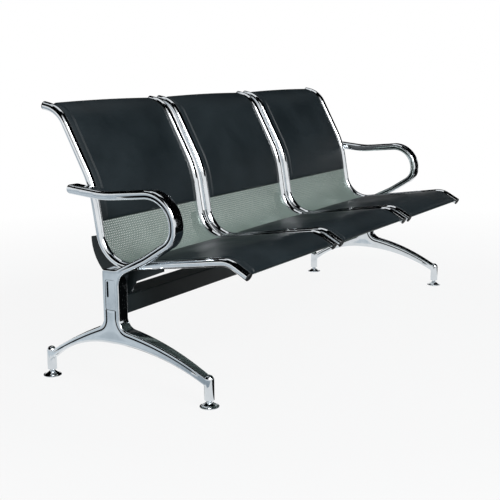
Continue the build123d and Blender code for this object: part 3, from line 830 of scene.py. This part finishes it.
def foot_shape(place):
    """Six-sided cone with a hollow flare and a threaded stud, for a foot that stands at a place."""
    rise = np.linspace(0, 1, 7)
    flare = FOOT_R - 0.6 + (NECK_R - FOOT_R) * rise ** 0.8
    rim = [(FOOT_R - 0.8, 0), (FOOT_R, 0.8), (FOOT_R, FOOT_RIM_H - 0.6), (FOOT_R - 0.5, FOOT_RIM_H)]
    slopes = list(zip(flare, FOOT_RIM_H + 0.2 + (CONE_TOP - 1 - FOOT_RIM_H) * rise))
    slopes += [(NECK_R - 1.4, CONE_TOP)]
    cone = turned(rim, RING_POINTS, place, math.radians(FACET_TURN))
    cone += [hexagon(radius, height, place, 0.05) for radius, height in slopes]
    crests = np.arange(CONE_TOP - 1, STUD_TOP - 1, THREAD_PITCH / 2)
    thread = [(STUD_R - THREAD_DEPTH * (k % 2), z) for k, z in enumerate(crests)]
    thread += [(STUD_R - 1.2, STUD_TOP)]
    return gathered([skin(cone), skin(turned(thread, 24, place))])


for side, sign in SIDES.items():
    for end in ("front", "rear"):
        node = f"foot_{end}_{side}"
        foot = made_of(f"levelling_{node}", *foot_shape((sign * frame_x, foot_y[end])))
        dress(foot, chrome, "chromed_steel", node, node, edge=25)
print("four levelling feet with", len(foot.data.polygons), "faces each")

# %% [markdown]
# ## Bolts on the brackets
# Cap screws with a six-sided socket hold the brackets to the beam. Their places are read from the
# solids, one group of touching faces for each bolt.

# %% Socket head bolts
def separate_boxes(node):
    """Lowest and highest corner of each separate solid in a node."""
    shape = welded(nodes[node].data)
    left = set(shape.verts)
    boxes = []
    while left:
        reached = [left.pop()]
        for vertex in reached:
            linked = {edge.other_vert(vertex) for edge in vertex.link_edges} & left
            left -= linked
            reached += linked
        spots = np.array([vertex.co for vertex in reached])
        boxes.append((spots.min(0), spots.max(0)))
    shape.free()
    return boxes


BOLT_R = 4.0
HEAD_H = 5.5
HEAD_R = 6.5
KEY_R = 3.4
KEY_DEPTH = 3.0


def bolt_shape(low, high):
    """Cap screw with its shank and a six-sided socket, from the box of its solid."""
    place = (low + high)[:2] / 2
    top = high[2] / MM
    shank = [(BOLT_R, low[2] / MM), (BOLT_R, top - HEAD_H), (HEAD_R, top - HEAD_H)]
    head = [(HEAD_R, top - 1.2), (HEAD_R - 0.4, top - 0.3), (HEAD_R - 1.2, top)]
    key = [hexagon(KEY_R, height, place) for height in (top, top - KEY_DEPTH)]
    return skin(turned(shank + head, RING_POINTS, place) + key)


for seat in SEATS:
    node = f"bracket_bolts_{seat}"
    bolts = made_of(f"socket_{node}", *gathered([bolt_shape(*box) for box in separate_boxes(node)]))
    dress(bolts, zinc, "zinc_steel", "frame", node, edge=30)
print("bolts per seat", len(separate_boxes("bracket_bolts_left")))

# %% [markdown]
# ## Perforated seat sheets
# Each seat is one steel sheet, punched all over and rolled to the S of the side tubes. The holes
# are real openings here, because light passes through them and the back of the bench is seen as
# often as its front. Every hole sits in a six-sided cell, and cells share their corners.

# %% Perforated sheets
# Real punched sheet has holes of about 3 mm, 5 mm apart. They are drawn at 4.4 mm, 8 mm apart, so
# that they show.
HOLE_PITCH = 8 * MM
HOLE_R = 2.2 * MM
SHEET_HALF_T = 0.8 * MM
SHEET_INSET = 4 * MM
ROW_STEP = HOLE_PITCH * math.sqrt(3) / 2


def perforated(first_row, last_row, rows):
    """Points (across, along, level) and faces of the sheet between two rows of holes."""
    columns = int(2 * SHEET_HALF / HOLE_PITCH)
    corner_angles = np.radians(30 + 60 * np.arange(6))
    corners = np.stack([np.cos(corner_angles), np.sin(corner_angles)], axis=1)
    found = {}
    points = []
    faces = []

    def corner_index(spot, level):
        key = (round(spot[0], 5), round(spot[1], 5), level)
        if key not in found:
            found[key] = len(points)
            points.append((*spot, level))
        return found[key]

    for row in range(first_row, last_row):
        shift = 0.25 if row % 2 else -0.25
        for column in range(columns):
            x = (column - (columns - 1) / 2 + shift) * HOLE_PITCH
            centre = np.array([x, (row + 0.5) * ROW_STEP])
            cell = centre + corners * HOLE_PITCH / math.sqrt(3)
            if column == 0:
                cell[[2, 3], 0] = -SHEET_HALF
            if column == columns - 1:
                cell[[0, 5], 0] = SHEET_HALF
            if row == 0:
                cell[[3, 4, 5], 1] = SHEET_INSET
            if row == rows - 1:
                cell[[0, 1, 2], 1] = PROFILE_L - SHEET_INSET
            rims = []
            for level in (SHEET_HALF_T, -SHEET_HALF_T):
                outside = [corner_index(spot, level) for spot in cell]
                first = len(points)
                points.extend((*spot, level) for spot in centre + corners * HOLE_R)
                rims.append(first)
                for k in range(6):
                    after = (k + 1) % 6
                    face = [first + k, outside[k], outside[after], first + after]
                    faces.append(face if level > 0 else face[::-1])
            for k in range(6):
                after = (k + 1) % 6
                faces.append([rims[0] + after, rims[1] + after, rims[1] + k, rims[0] + k])
    return np.array(points), faces


def on_seat(points, x):
    """Places of points (across, along, level) on the seat whose middle is at x."""
    spots, facing = stations(points[:, 1])
    spots = spots + facing * points[:, 2:3]
    return np.column_stack([points[:, 0] + x, spots])


rows = int(PROFILE_L / ROW_STEP)
BEND_ROWS = (56, 82)
stretches = {"back": (0, BEND_ROWS[0]), "bend": BEND_ROWS, "seat": (BEND_ROWS[1], rows)}
for part, (first, last) in stretches.items():
    sheet_points, sheet_faces = perforated(first, last, rows)
    for seat in SEATS:
        sheet = made_of(f"sheet_{part}_{seat}", on_seat(sheet_points, seat_x[seat]), sheet_faces)
        dress(sheet, silver_coat, "silver_sheet", "frame", f"shell_{seat}", edge=30)
    print("sheet", part, len(sheet_faces), "faces")

# %% [markdown]
# ## Pads
# A pad is foam under stretched leather: a flat base on the sheet, sides that draw in to a crisp
# edge line, and a crowned face between. The end at the bend thins to a feather and the outer end
# rolls over. It starts a little too flat, then cloth pressure lifts the face while the base and
# the edge line are held, as the foam does under a cover that is stapled all round.

# %% Pad shapes
PAD_HALF = 241.8 * MM
PAD_BASE = 1.2 * MM
PAD_DRAW = 21.5 * MM
PAD_EDGE = PAD_HALF - PAD_DRAW
PAD_EDGE_H = 10.5 * MM
PAD_CROWN_H = 13.5 * MM
PAD_LIP = 2.4 * MM
PAD_SHOULDER_H = 7.5 * MM
PAD_STEP = 3.4 * MM
PAD_INSET = 3 * MM
BACK_PAD_L = 392 * MM
SEAT_PAD_L = 414 * MM
THIN_RUN = 30 * MM
ROUND_RUN = 14 * MM
PAD_ROW = 7 * MM
PAD_COLUMN = 8 * MM
FREE_HALF = PAD_EDGE - 8 * MM
BASE_COLUMNS = 9
# Columns lie close together beside the edge line, where the section turns most.
EDGE_STEPS = np.array([-10, -6, -3.5, -2, -1, -0.4, 0, 0.4, 1.2, 2.2, 3, 3.4, 3.8, 5, 7, 10.5, 15]) * MM


def pad_section():
    """Across and height of a pad's upper side, from one base corner to the other."""
    right = np.append(PAD_EDGE + EDGE_STEPS, PAD_HALF)
    inner = right[0] - PAD_COLUMN
    face = np.linspace(-inner, inner, int(2 * inner / PAD_COLUMN) + 1)
    x = np.concatenate([-right[::-1], face, right])
    out = np.abs(x)
    draw = (np.clip(PAD_HALF - out, 0, PAD_DRAW) / PAD_DRAW) ** 0.75
    rise = np.clip((PAD_EDGE + PAD_STEP - out) / PAD_STEP, 0, 1)
    side = PAD_BASE + (PAD_SHOULDER_H - PAD_BASE) * draw
    side += (PAD_EDGE_H - PAD_SHOULDER_H) * rise
    crown = (PAD_CROWN_H - PAD_EDGE_H) * np.clip(1 - (x / PAD_EDGE) ** 2, 0, 1)
    return np.column_stack([x, side + crown])


def end_height(distance, run):
    """Share of the full height at a distance from an end that swells over a run."""
    return math.sqrt(1 - (1 - min(distance / run, 1)) ** 2)


def pad_rows(start, end):
    """Lengths of a pad's rows, close together where its ends turn down."""
    ends = np.array([0, 0.8, 2.5, 5, 8.5, 13, 19]) * MM
    length = end - start
    inner = np.linspace(ends[-1] + PAD_ROW, length - ends[-1] - PAD_ROW, int(length / PAD_ROW) - 5)
    return start + np.concatenate([ends, inner, length - ends[::-1]])


def pad_mesh(name, start, end, start_run, end_run):
    """Closed pad over a stretch of the side shape, and which of its points are free to move."""
    section = pad_section()
    base = np.linspace(PAD_HALF, -PAD_HALF, BASE_COLUMNS + 2)[1:-1]
    rings = []
    free = []
    for length in pad_rows(start, end):
        share = min(end_height(length - start, start_run), end_height(end - length, end_run))
        height = np.minimum(section[:, 1], PAD_LIP + np.maximum(section[:, 1] - PAD_LIP, 0) * share)
        upper = np.column_stack([section[:, 0], np.full(len(section), length), height])
        lower = np.column_stack([base, np.full(BASE_COLUMNS, length), np.full(BASE_COLUMNS, PAD_BASE)])
        rings.append(np.concatenate([upper, lower]))
        clear = min(length - start, end - length) > THIN_RUN / 3
        free += [clear and abs(x) < FREE_HALF for x in section[:, 0]] + [False] * BASE_COLUMNS
    points, faces = skin(rings)
    pad = made_of(name, on_seat(points, 0), [face[::-1] for face in faces])
    ends = np.array([tuple(edge.vertices) for edge in pad.data.edges])
    rows, columns = np.divmod(ends, len(rings[0]))
    on_corner = (columns[:, 0] == columns[:, 1]) & np.isin(columns[:, 0], (0, len(section) - 1))
    on_end = (rows[:, 0] == rows[:, 1]) & np.isin(rows[:, 0], (0, len(rings) - 1))
    crease = pad.data.attributes.new("crease_edge", "FLOAT", "EDGE")
    crease.data.foreach_set("value", (on_corner | on_end).astype(np.float32))
    return pad, np.array(free)


back_end = PAD_INSET + BACK_PAD_L
seat_start = PROFILE_L - PAD_INSET - SEAT_PAD_L
pad_shapes = {
    "back_pad": pad_mesh("back_pad_form", PAD_INSET, back_end, ROUND_RUN, THIN_RUN),
    "seat_pad": pad_mesh("seat_pad_form", seat_start, PROFILE_L - PAD_INSET, THIN_RUN, ROUND_RUN),
}
print("pad forms", {name: len(pad.data.vertices) for name, (pad, free) in pad_shapes.items()})

# %% Fill the pads
FRAMES = 20
MOST_LIFT = 5 * MM


def inflate(pad, free):
    """Lets cloth pressure lift the free face of a pad, no further than the most lift."""
    held = pad.vertex_groups.new(name="held")
    held.add(np.flatnonzero(~free).tolist(), 1.0, "REPLACE")
    cloth = pad.modifiers.new("cover", "CLOTH")
    cloth.settings.use_pressure = True
    cloth.settings.uniform_pressure_force = 4.0
    cloth.settings.tension_stiffness = 40
    cloth.settings.compression_stiffness = 40
    cloth.settings.bending_stiffness = 2.0
    cloth.settings.vertex_group_mass = "held"
    cloth.settings.effector_weights.gravity = 0.0
    cloth.collision_settings.use_collision = False
    start = np.array([vertex.co for vertex in pad.data.vertices])
    scene = bpy.context.scene
    for step in range(1, FRAMES + 1):
        scene.frame_set(step)
    shape = pad.evaluated_get(bpy.context.evaluated_depsgraph_get()).data
    moved = np.array([vertex.co for vertex in shape.vertices]) - start
    pad.modifiers.clear()
    scene.frame_set(1)
    lift = np.linalg.norm(moved, axis=1)
    moved *= np.minimum(1, MOST_LIFT / np.maximum(lift, 1e-9))[:, None]
    pad.data.vertices.foreach_set("co", (start + moved).astype(np.float32).ravel())
    print(pad.name, "lifted by up to", round(lift.max() / MM, 1), "mm")


for kind, (form, free) in pad_shapes.items():
    inflate(form, free)
    for seat in SEATS:
        mesh = form.data.copy()
        mesh.transform(Matrix.Translation((seat_x[seat], 0, 0)))
        pad = placed(f"leather_{kind}_{seat}", mesh)
        pad.modifiers.new("smooth", "SUBSURF").render_levels = 1
        dress(pad, leather, "black_leather", "frame", f"{kind}_{seat}", edge=60)
    bpy.data.objects.remove(form)
print("six pads filled")

# %% [markdown]
# ## Light, floor and backdrop
# Chrome looks like what stands round it, so it gets a white studio with a dark ceiling. The world
# is white to the camera and to reflections. Dark flags overhead, at the right and on the floor are
# seen by reflections alone and draw the black bands on the chrome. Large lamps give soft light.

# %% World
def shown(tree):
    """Output that is 1 for what the camera sees straight, mirrored or through glass, and 0 for lighting."""
    ray = add(tree, "LightPath", {})
    seen = add(tree, "Math", {"operation": "MAXIMUM"},
               {0: ray.outputs["Is Camera Ray"], 1: ray.outputs["Is Glossy Ray"]})
    seen = add(tree, "Math", {"operation": "MAXIMUM"},
               {0: seen.outputs[0], 1: ray.outputs["Is Transmission Ray"]})
    return seen.outputs[0]


world = bpy.data.worlds.new("white_studio")
bpy.context.scene.world = world
world.use_nodes = True
tree = world.node_tree
tree.nodes.clear()
fill = add(tree, "Background", {"Color": linear("#f4f7fa"), "Strength": 0.36})
white = add(tree, "Background", {"Color": (1, 1, 1, 1), "Strength": 1.0})
mix = add(tree, "MixShader", {}, {0: shown(tree), 1: fill.outputs[0], 2: white.outputs[0]})
add(tree, "OutputWorld", {}, {"Surface": mix.outputs[0]})
print("world", world.name)


# %% Floor
NEAR_FLOOR = 1.2
FAR_FLOOR = 3.0
FLOOR_HALF = 30.0
CLEAR_NEAR = 0.9


def floor_finish():
    made, tree, shader, place = finish("white_floor", Roughness=0.9, Specular_IOR_Level=0.0)
    grain = add(tree, "TexNoise", {"Scale": per_mm(400), "Detail": 2.0}, {"Vector": place})
    tint = add(tree, "Mix", {"data_type": "RGBA", 6: linear("#94989b"), 7: linear("#9ca0a3")},
               {0: grain.outputs["Fac"]})
    tree.links.new(tint.outputs[2], shader.inputs["Base Color"])
    far = add(tree, "VectorMath", {"operation": "LENGTH"}, {0: place})
    reach = {"From Min": NEAR_FLOOR, "From Max": FAR_FLOOR, "To Min": CLEAR_NEAR, "To Max": 1.0}
    share = add(tree, "MapRange", reach, {"Value": far.outputs["Value"]})
    share = add(tree, "Math", {"operation": "MULTIPLY"}, {0: shown(tree), 1: share.outputs["Result"]})
    # The floor keeps the shadow and lets the white world show through. A foot that is wound out
    # reaches below the floor, because the frame is held still, and so it shows too.
    clear = add(tree, "BsdfTransparent", {"Color": (1, 1, 1, 1)})
    mix = add(tree, "MixShader", {}, {0: share.outputs[0], 1: shader.outputs[0], 2: clear.outputs[0]})
    tree.links.new(mix.outputs[0], tree.nodes["Material Output"].inputs["Surface"])
    return made


def level_board(left, right, front, back, height):
    """Corners of a level rectangle."""
    return [(left, front, height), (right, front, height), (right, back, height), (left, back, height)]


floor_corners = level_board(-FLOOR_HALF, FLOOR_HALF, -FLOOR_HALF, FLOOR_HALF, 0)
floor = made_of("floor", floor_corners, [(0, 1, 2, 3)])
floor.data.materials.append(floor_finish())
print("floor", 2 * FLOOR_HALF, "m wide")


# %% Flags, boards and a grey card
def card_finish(name, dark, light):
    made, tree, _, place = finish(name)
    cloud = add(tree, "TexNoise", {"Scale": per_mm(1300), "Detail": 1.0}, {"Vector": place})
    share = add(tree, "MapRange", {"From Min": 0.35, "From Max": 0.65}, {"Value": cloud.outputs["Fac"]})
    tint = add(tree, "Mix", {"data_type": "RGBA", 6: linear(dark), 7: linear(light)},
               {0: share.outputs["Result"]})
    glow = add(tree, "Emission", {"Strength": 1.0}, {"Color": tint.outputs[2]})
    tree.links.new(glow.outputs[0], tree.nodes["Material Output"].inputs["Surface"])
    return made


def flag(name, corners, material):
    """Board that only reflections see."""
    thing = made_of(name, corners, [list(range(len(corners)))])
    thing.data.materials.append(material)
    for seen_by in ("camera", "diffuse", "transmission", "volume_scatter", "shadow"):
        setattr(thing, f"visible_{seen_by}", False)


def upright_board(x, front, back, bottom, top):
    """Corners of an upright rectangle across the bench."""
    return [(x, front, bottom), (x, back, bottom), (x, back, top), (x, front, top)]


grey_card = card_finish("grey_card", "#949fa8", "#d9e1e7")
board = card_finish("white_board", "#f1f4f6", "#ffffff")
grey_board = card_finish("grey_board", "#7d8386", "#a2a8ab")
velvet = coated_finish("black_velvet", "#050606", "#0b0d0e", 0.9, 3.0, 0.3, Specular_IOR_Level=0.0)
CEILING = 3.4
FAR = 12.0
RIGHT = 3.5
# The ceiling is open to the left and in front, so that the white world shows in the chrome there.
ceiling = [(-FAR, -0.8), (-2.2, -0.8), (-2.2, -3.0), (-0.8, -3.0)]
ceiling += [(-0.8, -FAR), (FAR, -FAR), (FAR, FAR), (-FAR, FAR)]
flag("flag_ceiling", [(x, y, CEILING) for x, y in ceiling], velvet)
flag("flag_right_front", upright_board(RIGHT, -4, -0.9, 0, CEILING), velvet)
flag("flag_right_middle", upright_board(RIGHT, -0.9, 0.9, 0.95, CEILING), velvet)
flag("flag_right_rear", upright_board(RIGHT, 0.9, 9, 0.62, CEILING), velvet)
ON_FLOOR = 2 * MM
# The dark cloth on the floor leaves out the places that the right leg and its foot reflect.
cloth = [(-0.82, -4), (RIGHT, -4), (RIGHT, -0.2), (1.0, -0.2), (1.0, -0.85), (0.45, -0.85), (0.45, -0.2)]
cloth += [(-0.15, -0.2), (-0.15, 0.15), (-0.82, 0.15)]
flag("flag_floor", [(x, y, ON_FLOOR) for x, y in cloth], velvet)
# White boards overhead draw the line along the arms and light up the feet and the top bends. A grey
# one at the right shows in the front bends of the tubes.
flag("board_arms", level_board(-2.0, -1.0, 0.9, 2.2, CEILING - 0.05), board)
flag("board_feet", level_board(-0.8, 1.9, -0.3, 1.25, CEILING - 0.05), board)
flag("board_bends", upright_board(RIGHT - 0.05, -0.4, 0.7, 2.1, 3.1), grey_board)
flag("grey_card", level_board(-7, -1, -0.6, 5, ON_FLOOR), grey_card)
print("five black flags, three boards and a grey card")


# %% Lamps
def lamp(name, place, target, width, depth, power, mirrored=False):
    """Soft box of a width and depth in metres that looks at a target, and may show in reflections."""
    data = bpy.data.lights.new(name, "AREA")
    data.shape = "RECTANGLE"
    data.size = width
    data.size_y = depth
    data.energy = power
    thing = placed(name, data)
    thing.location = place
    thing.visible_glossy = mirrored
    thing.rotation_euler = (Vector(target) - Vector(place)).to_track_quat("-Z", "Y").to_euler()


BENCH_MIDDLE = (0, 0, 0.4)
lamp("key_box", (-1.9, -2.8, 2.4), BENCH_MIDDLE, 2.2, 1.4, 125, mirrored=True)
lamp("fill_box", (2.6, -1.6, 2.4), BENCH_MIDDLE, 2.0, 1.4, 28)
lamp("rear_box", (0.4, 2.6, 2.8), BENCH_MIDDLE, 2.6, 1.2, 24)
print("three soft boxes")
